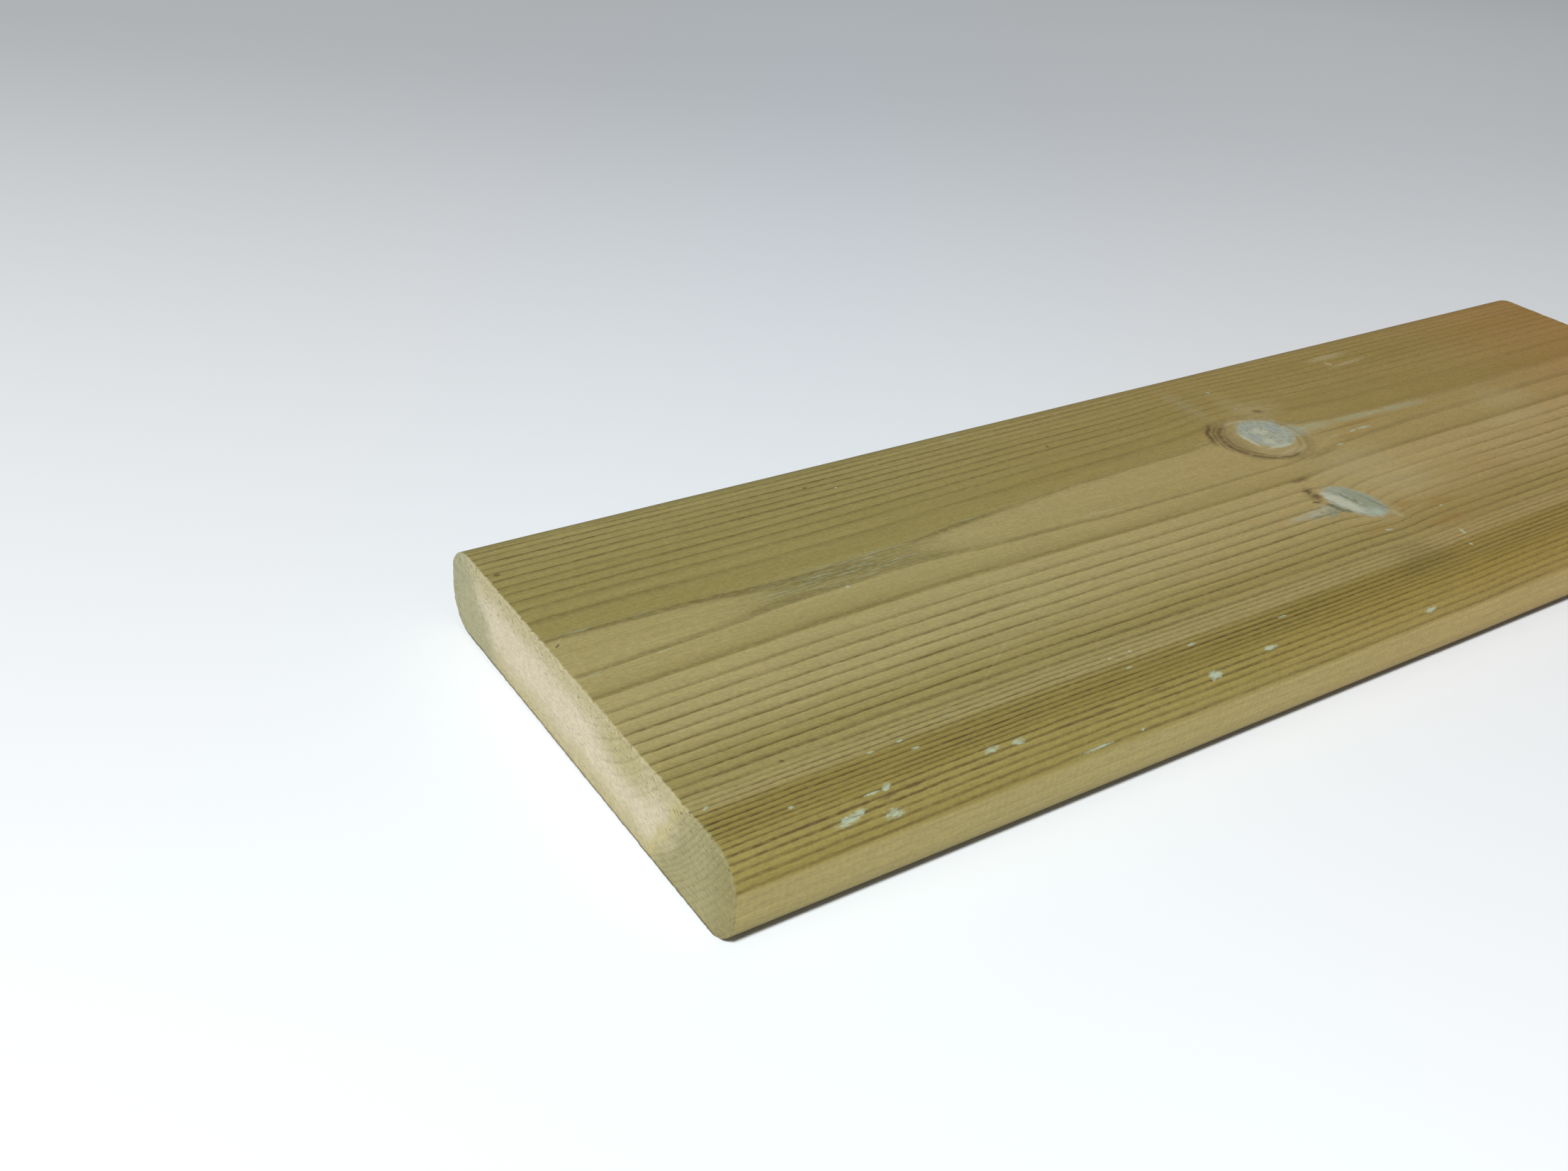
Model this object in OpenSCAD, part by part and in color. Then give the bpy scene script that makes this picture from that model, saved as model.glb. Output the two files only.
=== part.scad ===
// Planed softwood plank: one piece of timber, machined on four sides with
// rounded long edges and cut square at both ends.
// The plank lies on its back face. X runs along the grain, Y across the width
// and Z up from the back face. The origin is the centre of the back face.

/* [Plank] */
// Length along the grain, from end to end
plank_length = 445; // [100:1:6000]
// Width across the face, over the rounded edges
plank_width = 145; // [60:1:300]
// Thickness from the back face to the top face
plank_thickness = 25; // [12:0.5:75]
// Radius that each long edge is rounded to
edge_radius = 10; // [1:0.5:12]

/* [Hidden] */
// An edge can be no rounder than a half circle over the thickness
round_r = min(edge_radius, plank_thickness / 2);
// Segments in a drawn circle
$fn = 96;

// Section of the plank, standing on the origin: a rectangle with four round corners
module section() {
    translate([-plank_width / 2, round_r])
        square([plank_width, plank_thickness - 2 * round_r]);
    translate([-plank_width / 2 + round_r, 0])
        square([plank_width - 2 * round_r, plank_thickness]);
    for (side = [-1, 1], height = [round_r, plank_thickness - round_r])
        translate([side * (plank_width / 2 - round_r), height])
            circle(r = round_r);
}

// The section drawn out along the grain
module plank() {
    color("darkkhaki")
        rotate([90, 0, 90])
            translate([0, 0, -plank_length / 2])
                linear_extrude(height = plank_length)
                    section();
}

plank();
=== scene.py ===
"""Planed plank of treated softwood, with its yearly rings, knots, salt marks and sawn ends.

Laid out as an add-on and run as a script. Every piece is in metres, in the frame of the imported
model: X runs along the grain, Y across the width and Z up from the back face.
"""
import math
from collections import namedtuple

import bmesh
import bpy
from mathutils import Matrix, Vector


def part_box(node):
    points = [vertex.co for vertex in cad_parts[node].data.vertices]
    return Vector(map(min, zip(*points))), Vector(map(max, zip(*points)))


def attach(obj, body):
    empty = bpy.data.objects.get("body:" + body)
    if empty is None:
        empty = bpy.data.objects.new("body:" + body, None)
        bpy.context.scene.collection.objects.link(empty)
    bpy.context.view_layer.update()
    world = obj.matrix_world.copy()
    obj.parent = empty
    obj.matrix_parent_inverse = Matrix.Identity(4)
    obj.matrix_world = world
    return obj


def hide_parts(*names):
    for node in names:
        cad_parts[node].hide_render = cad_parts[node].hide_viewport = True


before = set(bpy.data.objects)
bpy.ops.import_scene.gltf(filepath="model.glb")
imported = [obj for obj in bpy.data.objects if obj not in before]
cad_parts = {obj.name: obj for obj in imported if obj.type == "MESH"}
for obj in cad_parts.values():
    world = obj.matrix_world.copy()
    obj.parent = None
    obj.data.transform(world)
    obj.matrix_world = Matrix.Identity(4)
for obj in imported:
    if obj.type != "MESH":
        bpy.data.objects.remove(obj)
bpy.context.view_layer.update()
PLANK_LOW, PLANK_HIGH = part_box("plank")

bl_info = {
    "name": "Treated Softwood Plank",
    "version": (1, 0, 0),
    "blender": (4, 5, 0),
    "location": "View3D > Sidebar > Plank",
    "description": "Builds a planed plank with solid grain, and a stage to show it on",
    "category": "Add Mesh",
}

MM = 0.001
HALF_LENGTH = (PLANK_HIGH[0] - PLANK_LOW[0]) / MM / 2
HALF_WIDTH = (PLANK_HIGH[1] - PLANK_LOW[1]) / MM / 2

# Wood: places and lengths in millimetres, from the middle of the back face

# Where the heart of the tree runs: over the top face, a little behind the middle
PITH_Y = 9.1
PITH_Z = 58.0
TOP_Z = 25.0
# How far the heart strays to the back along the plank, as (place from the near end, stray)
PITH_STRAY = ((0, 0.0), (45, 1.1), (75, 1.5), (125, 2.3), (155, 2.7), (200, 3.0), (295, 3.5),
              (340, 3.0), (390, 3.4), (445, 3.4))
# How far the heart rises along the plank, as (place from the near end, rise)
PITH_RISE = ((0, -0.1), (45, 0.4), (75, 0.75), (100, 0.75), (125, 0.4), (155, 0.0), (195, -0.45),
             (225, -0.5), (255, 0.0), (295, 0.4), (340, 0.6), (390, 0.6), (445, 0.6))
# The rings grew a little faster on the front side: share of the distance squared
LOPSIDED = 0.00065
# Radius of the first ring edge that the plank reaches, and how dark its line is along the plank
FIRST_RING = 34.2
FIRST_LINE = ((0, 0.75), (40, 0.72), (60, 0.72), (110, 0.72), (150, 0.7), (230, 0.65), (280, 0.55),
              (445, 0.6))
# Where that ring only just touches the top face, so its line is a wide patch: middle, half length
FIRST_PATCH = (84.0, 34.0)
# Width and number of the rings inside it
INNER_WIDTH = 2.2
INNER_COUNT = 6
# Each ring outside it: how wide it is, and how dark its line is
RINGS = ((3.5, 0.5), (3.1, 0.5), (2.7, 0.65), (3.0, 0.75), (2.6, 0.65), (2.8, 0.9), (2.9, 0.7),
         (2.4, 0.75), (2.5, 1.0), (2.7, 0.8), (2.4, 0.65), (1.2, 0.6), (1.3, 0.65), (1.3, 0.75),
         (1.5, 0.8), (1.3, 0.75), (1.4, 0.95), (1.4, 1.0), (1.3, 0.8), (1.1, 0.75), (1.1, 0.7),
         (1.3, 0.8), (1.7, 0.85), (1.6, 0.8)) + ((1.6, 0.6),) * 14

# How deep the treatment soaked in: darkness by reach from the heart line, front side positive
SOAKED = ((-80, 0.32), (-63, 0.42), (-45, 0.64), (-20, 0.76), (-12, 0.72), (-9.8, 0.6),
          (-8.0, 0.1), (0, 0.0), (9, 0.1), (14, 0.25), (18.2, 0.5), (19.0, 0.0), (36, 0.05),
          (42, 0.28), (50, 0.68), (56, 0.38), (60, 0.2), (62.5, 0.88), (71, 0.92), (74, 0.84),
          (90, 0.7))
# How far the heart lies over the top face
HEART_DROP = PITH_Z - TOP_Z
# Tint of the far end, which is browner, and how it grows along the plank
FAR_TINT = (1.2, 0.86, 0.82)
FAR_SHARE = ((0, 0.0), (110, 0.02), (220, 0.28), (310, 0.42), (355, 0.48), (400, 0.8), (445, 1.0))
# Spacing of the planer's knife marks
PLANER_PITCH = 1.9
# How deep a surface mark goes
MARK_DEPTH = 12.0

# Where each knot starts in the tree and comes out, its radius there, and how it bends the rings
Knot = namedtuple("Knot", "heart way_out radius pull reach lift")
KNOTS = (
    Knot(heart=(31.5, 12.0, 58.0), way_out=(33.2, 20.2, TOP_Z), radius=9.2, pull=0.24, reach=2.2,
         lift=17.0),
    Knot(heart=(21.5, 12.0, 58.0), way_out=(22.8, -23.8, TOP_Z), radius=7.0, pull=0.3, reach=1.3,
         lift=-9.0),
)

# Mesh

# Steps in each rounded long edge
ROUND_STEPS = 24
# Spacing of the cuts that run along the grain
GRAIN_CUT = 0.64 * MM
# Spacing of the cuts across the grain, plain and beside the knots
CROSS_CUT = 3.8 * MM
KNOT_CUT = 1.5 * MM
KNOT_ZONE = (-8.0 * MM, 62.0 * MM)
# Spacing of the level cuts on the ends
END_CUT = 1.0 * MM


class PlankShape(bpy.types.PropertyGroup):
    """Sizes of the plank"""

    length: bpy.props.FloatProperty(
        name="Length", description="Length along the grain", unit="LENGTH",
        default=PLANK_HIGH[0] - PLANK_LOW[0])
    width: bpy.props.FloatProperty(
        name="Width", description="Width over the rounded edges", unit="LENGTH",
        default=PLANK_HIGH[1] - PLANK_LOW[1])
    thickness: bpy.props.FloatProperty(
        name="Thickness", description="From the back face to the top face", unit="LENGTH",
        default=PLANK_HIGH[2] - PLANK_LOW[2])
    edge_radius: bpy.props.FloatProperty(
        name="Edge radius", description="Radius of the four long edges", unit="LENGTH",
        default=10.0 * MM)
    arris: bpy.props.FloatProperty(
        name="Arris", description="Wear on the edges of the sawn ends", unit="LENGTH",
        default=0.3 * MM)


def colour_property(name, description, default, **limits):
    """A property that holds a colour."""
    return bpy.props.FloatVectorProperty(name=name, description=description, subtype="COLOR",
                                         default=default, **limits)


class PlankFinish(bpy.types.PropertyGroup):
    """Colours of the wood"""

    early_light: colour_property(
        "Early wood", "Pale wood of the spring growth", (0.345, 0.297, 0.127))
    early_deep: colour_property(
        "Soaked early wood", "Spring growth that took up more of the treatment", (0.24, 0.203, 0.060))
    early_front: colour_property(
        "Early wood, front", "Yellow brown wood beside the front edge", (0.235, 0.192, 0.047))
    late: colour_property(
        "Late wood", "Dark line at the end of each year", (0.115, 0.093, 0.028))
    late_red: colour_property(
        "Late wood, front", "Red brown lines beside the front edge", (0.09, 0.06, 0.017))
    halo: colour_property(
        "Knot halo", "Tan wood that grew round a knot", (0.335, 0.265, 0.12))
    halo_pale: colour_property(
        "Knot halo, pale", "Palest wood beside a knot", (0.42, 0.355, 0.205))
    knot_pale: colour_property(
        "Knot, pale", "Pale grey green of a knot", (0.345, 0.375, 0.30))
    knot_grey: colour_property(
        "Knot, grey", "Darker grey of a knot", (0.29, 0.305, 0.225))
    knot_green: colour_property(
        "Knot, green", "Dull green side of the second knot", (0.24, 0.265, 0.175))
    knot_white: colour_property(
        "Knot, white", "Nearly white rim and streaks of a knot", (0.48, 0.485, 0.365))
    knot_blue: colour_property(
        "Knot, blue", "Blue grey patches of a knot", (0.275, 0.315, 0.295))
    knot_dark: colour_property(
        "Knot, dark", "Dark green cracks and rims of a knot", (0.12, 0.125, 0.075))
    knot_tail: colour_property(
        "Knot tail", "Grey green streak that runs out of a knot", (0.33, 0.335, 0.21))
    warm: colour_property(
        "Warm stain", "Orange brown stain of resin", (0.27, 0.17, 0.05))
    # Bark is also the colour of the painted shade along the bottom of the lower rounded edges and of
    # the ends.
    bark: colour_property(
        "Bark", "Dark brown round a knot, in specks and near the ground", (0.095, 0.06, 0.026))
    salt: colour_property(
        "Salt", "Pale green marks left by the treatment", (0.38, 0.47, 0.36))
    end_heart: colour_property(
        "End, heart", "Sawn wood that the treatment did not reach", (0.56, 0.505, 0.37))
    end_soaked: colour_property(
        "End, soaked", "Sawn wood near the planed faces", (0.41, 0.372, 0.20))
    end_grey: colour_property(
        "End, back", "Sawn sap wood at the back edge", (0.365, 0.357, 0.22))
    end_olive: colour_property(
        "End, front", "Sawn sap wood at the front edge", (0.32, 0.295, 0.15))
    end_fringe: colour_property(
        "End, fringe", "Yellow edge between the heart wood and the front sap wood",
        (0.46, 0.405, 0.185))
    end_rim: colour_property(
        "End, front rim", "Sawn wood under the rounded front edge", (0.235, 0.21, 0.088))


class PlankStage(bpy.types.PropertyGroup):
    """Floor, light and camera"""

    floor: colour_property(
        "Floor", "Colour of the floor in the light that it throws back", (0.9, 0.9, 0.9))
    floor_front: colour_property(
        "Floor, front", "Colour of the floor as seen in front of the plank", (0.86, 0.88, 0.90),
        soft_max=2.0)
    # Painted shade: the darker grey of the floor seen behind the plank.
    floor_back_shaded: colour_property(
        "Floor, back", "Colour of the floor as seen behind the plank", (0.595, 0.615, 0.64),
        soft_max=2.0)
    sky: bpy.props.FloatProperty(
        name="Room light", description="Level of the even light from all round", default=0.15)
    lamp: bpy.props.FloatProperty(
        name="Lamp", description="Power of the soft lamp", unit="POWER", default=93.0)
    lens: bpy.props.FloatProperty(
        name="Lens", description="Focal length of the camera", subtype="DISTANCE_CAMERA",
        default=35.56)


class Nodes:
    """Adds nodes to a tree. A value is a socket, a number or a triple."""

    def __init__(self, tree):
        self.tree = tree

    def add(self, kind, inputs=None, **settings):
        node = self.tree.nodes.new(kind)
        for name, value in settings.items():
            setattr(node, name, value)
        for key, value in (inputs or {}).items():
            self.feed(node.inputs[key], value)
        return node

    def feed(self, socket, value):
        if isinstance(value, bpy.types.NodeSocket):
            self.tree.links.new(value, socket)
        elif socket.type == "RGBA" and len(value) == 3:
            socket.default_value = (*value, 1.0)
        else:
            socket.default_value = value

    def maths(self, operation, *values, clamp=False):
        node = self.add("ShaderNodeMath", dict(enumerate(values)), operation=operation)
        node.use_clamp = clamp
        return node.outputs[0]

    def chain(self, operation, values):
        """The first value, joined to each of the others in turn."""
        result = values[0]
        for value in values[1:]:
            result = self.maths(operation, result, value)
        return result

    def total(self, *values):
        return self.chain("ADD", values)

    def product(self, *values):
        return self.chain("MULTIPLY", values)

    def least(self, *values):
        return self.chain("MINIMUM", values)

    def most(self, *values):
        return self.chain("MAXIMUM", values)

    def inverse(self, value):
        return self.maths("SUBTRACT", 1.0, value)

    def bell(self, value):
        """One at zero, falling to nothing about two away."""
        squared = self.maths("MULTIPLY", value, value)
        return self.maths("EXPONENT", self.maths("MULTIPLY", squared, -1.0))

    def vector(self, operation, a, b):
        node = self.add("ShaderNodeVectorMath", {0: a, 1: b}, operation=operation)
        return node.outputs["Vector"]

    def scaled(self, vector, factor):
        node = self.add("ShaderNodeVectorMath", {0: vector, "Scale": factor}, operation="SCALE")
        return node.outputs["Vector"]

    def dot(self, a, b):
        node = self.add("ShaderNodeVectorMath", {0: a, 1: b}, operation="DOT_PRODUCT")
        return node.outputs["Value"]

    def size_of(self, vector):
        node = self.add("ShaderNodeVectorMath", {0: vector}, operation="LENGTH")
        return node.outputs["Value"]

    def split(self, vector):
        return self.add("ShaderNodeSeparateXYZ", {0: vector}).outputs

    def ramp(self, value, low, high, to_low=0.0, to_high=1.0):
        """A smooth step from one level to another."""
        node = self.add("ShaderNodeMapRange", interpolation_type="SMOOTHSTEP")
        for key, number in zip(("Value", "From Min", "From Max", "To Min", "To Max"),
                               (value, low, high, to_low, to_high)):
            self.feed(node.inputs[key], number)
        return node.outputs["Result"]

    def noise(self, place, stretch, detail=2.0, roughness=0.5):
        """Noise about 0.5, with its grain stretched by a size for each direction."""
        scaled = self.vector("DIVIDE", place, stretch)
        node = self.add("ShaderNodeTexNoise", {"Vector": scaled, "Scale": 1.0, "Detail": detail,
                                               "Roughness": roughness})
        return node.outputs["Fac"]

    def swing(self, place, stretch, amount, detail=2.0, roughness=0.5):
        """Noise about zero."""
        noise = self.noise(place, stretch, detail, roughness)
        return self.maths("MULTIPLY", self.maths("SUBTRACT", noise, 0.5), 2.0 * amount)

    def curve(self, value, points, handle="AUTO"):
        """A curve through points, given in the units of the value."""
        ins = [point[0] for point in points]
        outs = [point[1] for point in points]
        in_low, in_span = min(ins), max(ins) - min(ins)
        out_low, out_span = min(outs), max(outs) - min(outs)
        node = self.add("ShaderNodeFloatCurve")
        share = self.maths("DIVIDE", self.maths("SUBTRACT", value, in_low), in_span, clamp=True)
        self.feed(node.inputs["Value"], share)
        drawn = node.mapping.curves[0].points
        for number, (a, b) in enumerate(points):
            spot = ((a - in_low) / in_span, (b - out_low) / out_span)
            if number == 0:
                drawn[0].location = spot
            elif number == len(points) - 1:
                drawn[-1].location = spot
            else:
                drawn.new(*spot)
        for point in drawn:
            point.handle_type = handle
        node.mapping.update()
        return self.maths("MULTIPLY_ADD", node.outputs["Value"], out_span, out_low)

    def blend(self, factor, a, b, mode="MIX"):
        node = self.add("ShaderNodeMix", {0: factor, 6: a, 7: b}, data_type="RGBA",
                        blend_type=mode)
        return node.outputs[2]

    def between(self, factor, a, b):
        """A number on the way from one to another."""
        node = self.add("ShaderNodeMix", {0: factor, 2: a, 3: b}, data_type="FLOAT")
        return node.outputs[0]

    def blot(self, place, centre, half_sizes, angle=0.0):
        """Distance from a spot, one at its edge, with its long way turned by an angle."""
        away = self.vector("SUBTRACT", place, centre)
        if angle:
            away = self.add("ShaderNodeVectorRotate",
                            {"Vector": away, "Angle": -math.radians(angle)},
                            rotation_type="Z_AXIS").outputs[0]
        return self.size_of(self.vector("DIVIDE", away, half_sizes))

    def lit(self, colour, *changes):
        """A colour made lighter or darker by shares about zero."""
        return self.scaled(colour, self.total(1.0, *changes))


Grain = namedtuple("Grain", "count phase dark radius across knots")


def knot_distance(nodes, place, knot):
    """Distance from a knot's axis, as a share of its radius there, and the way from the axis."""
    heart = Vector(knot.heart)
    axis = Vector(knot.way_out) - heart
    slope = knot.radius / axis.length
    axis.normalize()
    from_heart = nodes.vector("SUBTRACT", place, heart)
    along = nodes.dot(from_heart, axis)
    away = nodes.vector("SUBTRACT", from_heart, nodes.scaled(tuple(axis), along))
    size = nodes.most(nodes.maths("MULTIPLY", along, slope), 0.5)
    return nodes.maths("DIVIDE", nodes.size_of(away), size), away


def ring_edges():
    """Points of the curve from a radius to a count of rings."""
    points = [(FIRST_RING - INNER_COUNT * INNER_WIDTH, 0)]
    for step in range(1, INNER_COUNT + 1):
        points.append((FIRST_RING - (INNER_COUNT - step) * INNER_WIDTH, step))
    for width, _ in RINGS:
        points.append((points[-1][0] + width, points[-1][1] + 1))
    return points


def ring_darkness():
    """Points of the curve from a count of rings to how dark the line there is."""
    late_part = 0.9
    points = [(0, 1.0), (INNER_COUNT - 1 + late_part, 1.0)]
    for number, (_, dark) in enumerate(RINGS):
        points.append((INNER_COUNT + number + late_part, dark))
    return points


def grow_wood(nodes, place, length):
    """The yearly rings and the knots, at a place in millimetres."""
    settled = place
    knots = []
    for knot in KNOTS:
        distance, away = knot_distance(nodes, place, knot)
        knots.append(distance)
        pull = nodes.product(nodes.bell(nodes.maths("DIVIDE", distance, knot.reach)), knot.pull)
        sideways = nodes.vector("MULTIPLY", away, (0.0, 1.0, 1.0))
        sideways = nodes.vector("ADD", sideways, (0.0, knot.lift, 0.0))
        settled = nodes.vector("SUBTRACT", settled, nodes.scaled(sideways, pull))
    x, y, z = nodes.split(settled)
    from_near_end = nodes.maths("ADD", x, length / MM / 2)
    off_heart = nodes.maths("ABSOLUTE", nodes.maths("SUBTRACT", PITH_Y, y))
    stray = nodes.product(nodes.curve(from_near_end, PITH_STRAY),
                          nodes.ramp(off_heart, 15.0, 65.0, 1.0, 0.15))
    heart_y = nodes.total(stray, PITH_Y)
    heart_z = nodes.total(nodes.curve(from_near_end, PITH_RISE), PITH_Z)
    across = nodes.maths("SUBTRACT", heart_y, y)
    evened = nodes.maths("SUBTRACT", across, nodes.product(across, across, LOPSIDED))
    down = nodes.maths("SUBTRACT", heart_z, z)
    squares = nodes.total(nodes.product(evened, evened), nodes.product(down, down))
    radius = nodes.maths("SQRT", squares)
    wobble = nodes.total(nodes.swing(place, (55.0, 12.0, 12.0), 0.25),
                         nodes.swing(place, (12.0, 2.5, 2.5), 0.14),
                         nodes.swing(place, (3.0, 1.5, 1.5), 0.1))
    radius = nodes.total(radius, nodes.product(wobble, nodes.ramp(radius, 36.0, 46.0, 0.2, 1.0)))
    count = nodes.curve(radius, ring_edges(), "VECTOR")
    dark = nodes.curve(count, ring_darkness(), "VECTOR")
    return Grain(count, nodes.maths("FRACT", count), dark, radius, across, knots)


# Darkness of a ring from its spring side to its autumn side
LATE_PROFILE = ((0.0, 0.4), (0.05, 0.02), (0.4, 0.05), (0.68, 0.22), (0.8, 0.5), (0.88, 1.0),
                (0.98, 1.0), (1.0, 0.6))
# The same behind the heart, where the lines are softer
BACK_PROFILE = ((0.0, 0.5), (0.08, 0.1), (0.4, 0.06), (0.68, 0.26), (0.8, 0.62), (0.88, 1.0),
                (0.97, 1.0), (1.0, 0.65))
# The same for the first ring
LINE_PROFILE = ((0.0, 0.4), (0.04, 0.0), (0.78, 0.03), (0.86, 0.35), (0.92, 1.0), (1.0, 1.0))
# The same for the narrow rings
NARROW_PROFILE = ((0.0, 0.5), (0.08, 0.08), (0.45, 0.1), (0.62, 0.35), (0.76, 0.95), (0.95, 1.0),
                  (1.0, 0.7))


def end_share(nodes, place, length):
    """One on the sawn ends, nothing on the planed faces."""
    x = nodes.maths("ABSOLUTE", nodes.split(place)[0])
    ragged = nodes.total(x, nodes.swing(place, (3.0, 1.6, 1.6), 0.6, detail=3.0))
    half = length / MM / 2
    return nodes.ramp(ragged, half - 0.9, half - 0.35)


# Height of the ring lines, wide and narrow, of the waves along the faces and of the knots
RIDGE = 0.08
NARROW_RIDGE = 0.02
WAVE = 0.08
KNOT_SWELL = 0.12
# How far the faces are lowered, so that their relief stays inside the planed size
FACE_DROP = 0.16
# Roughness and torn waves of the saw cuts, and how far the ends are lowered for them
SAW_ROUGHNESS = 0.22
SAW_TEAR = 0.12
END_DROP = 0.2


def press_relief(piece, shape):
    """Real relief of the grain, knots and saw cuts, always inside the planed size."""
    tree = bpy.data.node_groups.new("Plank relief", "GeometryNodeTree")
    tree.interface.new_socket("Geometry", in_out="INPUT", socket_type="NodeSocketGeometry")
    tree.interface.new_socket("Geometry", in_out="OUTPUT", socket_type="NodeSocketGeometry")
    nodes = Nodes(tree)
    entry = nodes.add("NodeGroupInput")
    place = nodes.scaled(nodes.add("GeometryNodeInputPosition").outputs[0], 1.0 / MM)
    grain = grow_wood(nodes, place, shape.length)
    ridge = nodes.product(nodes.curve(grain.phase, LATE_PROFILE),
                          nodes.ramp(grain.radius, 60.0, 66.0, RIDGE, NARROW_RIDGE))
    wave = nodes.swing(place, (60.0, 18.0, 18.0), WAVE)
    knot_near = nodes.least(*grain.knots)
    swell = nodes.product(nodes.bell(nodes.maths("DIVIDE", knot_near, 1.2)), KNOT_SWELL)
    sides = nodes.total(ridge, wave, swell, -FACE_DROP)
    rough = nodes.swing(place, (1.4, 1.4, 1.4), SAW_ROUGHNESS, detail=3.0)
    tear = nodes.swing(place, (9.0, 4.0, 3.0), SAW_TEAR)
    ends = nodes.total(rough, tear, -END_DROP)
    share = end_share(nodes, place, shape.length)
    height = nodes.total(nodes.product(nodes.inverse(share), sides), nodes.product(share, ends))
    height = nodes.least(height, 0.0)
    normal = nodes.add("GeometryNodeInputNormal").outputs[0]
    offset = nodes.scaled(normal, nodes.product(height, MM))
    moved = nodes.add("GeometryNodeSetPosition", {"Geometry": entry.outputs[0], "Offset": offset})
    nodes.add("NodeGroupOutput", {0: moved.outputs[0]})
    modifier = piece.modifiers.new("Relief", "NODES")
    modifier.node_group = tree
    depsgraph = bpy.context.evaluated_depsgraph_get()
    pressed = bpy.data.meshes.new_from_object(piece.evaluated_get(depsgraph))
    piece.modifiers.clear()
    plain = piece.data
    piece.data = pressed
    bpy.data.meshes.remove(plain)
    bpy.data.node_groups.remove(tree)


# Marks on the top face, as (from the near end, from the back edge, half length, half width, turn)

SALT_MARKS = (
    (30.5, 141.3, 4.4, 0.9, 6), (33, 140.9, 1.8, 0.8, 10), (42, 137.9, 1.4, 0.8, 20),
    (38, 138.2, 2.4, 0.3, 0), (71, 138.4, 2.4, 0.8, 5), (78.4, 138.8, 2.0, 0.8, 0),
    (140.5, 140.4, 2.6, 1.1, 0), (143, 129.3, 1.8, 0.6, 5), (119.7, 124.4, 0.5, 0.45, 0),
    (126.6, 124.4, 0.6, 0.45, 0), (121.5, 129.5, 1.3, 0.35, 0), (19.8, 134.3, 0.7, 0.6, 0),
    (4, 126, 1.0, 0.5, 30), (45.5, 127, 1.2, 0.4, 0), (53.8, 126.7, 1.2, 0.4, 10),
    (55.5, 130.4, 1.3, 0.5, 0), (174.5, 131, 1.6, 0.4, 0), (161.3, 139.1, 2.8, 0.7, 0),
    (259.8, 123.6, 0.7, 1.7, -10), (255.5, 129.6, 0.7, 0.8, 0), (81, 67.4, 0.75, 0.6, 30),
    (109, 21, 0.5, 0.4, 0), (290.5, 62.6, 3.4, 0.7, 0), (261.2, 33.8, 0.7, 0.4, 0),
    (262, 20.5, 0.5, 1.0, 0), (267.6, 110.2, 0.6, 0.6, 0), (240, 113, 2.0, 0.5, -20),
    (285, 62.8, 2.0, 0.5, 5), (272.5, 67.9, 2.2, 0.5, 5),
)
# The same on the rounded front edge, as (from the near end, height, half length, half height)
EDGE_SALT = ((99.5, 18.4, 5.5, 0.35), (113.5, 18.6, 0.7, 0.4), (221.5, 20.3, 2.8, 0.7),
             (41, 21.0, 3.2, 1.2))
# How deep those go
EDGE_DEPTH = 4.0
# Where thin pale dashes lie along the grain
DASH_ZONES = (
    (88, 60.5, 40, 6.5, 2), (18, 71.3, 20, 1.0, 5), (8, 54.3, 10, 0.9, 0), (25, 54.8, 6, 0.8, 0),
    (134, 53, 7, 0.9, 0), (157, 95, 6, 0.8, 0), (125, 94.8, 24, 0.7, 0), (168, 67, 11, 1.0, -2),
    (152, 56, 6, 2.4, 0), (210, 50, 12, 0.7, 2), (275, 62.8, 5, 1.1, 0), (70, 123.6, 3, 0.6, 0),
    (231, 47.8, 4, 0.6, 3), (228, 97.2, 10, 2.6, 0), (272, 54.6, 9, 2.6, -2),
    (300, 56, 14, 1.6, -3),
)
# Outline of the second knot, and of the tan wood round the first
SECOND_KNOT = (244.8, 96.6, 7.3, 10.2, 11)
KNOT_HALO = (251.9, 53.8, 16.2, 15.4)
# Arcs of bark round the first knot: shares of that outline, degrees round it, and how dark
Arc = namedtuple("Arc", "share half_width towards spread strength")
BARK_ARCS = (
    Arc(0.85, 0.055, 200, 75, 0.8), Arc(1.08, 0.055, 145, 8, 0.9), Arc(0.97, 0.035, 152, 22, 0.6),
    Arc(0.73, 0.035, 192, 28, 0.5), Arc(0.99, 0.08, 312, 40, 0.22),
)
# How far the ends of those arcs fade out, in degrees
ARC_FADE = 25
# Where the lines beyond the knots are faint
CALM_ZONE = (276, 94, 32, 24)

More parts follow.
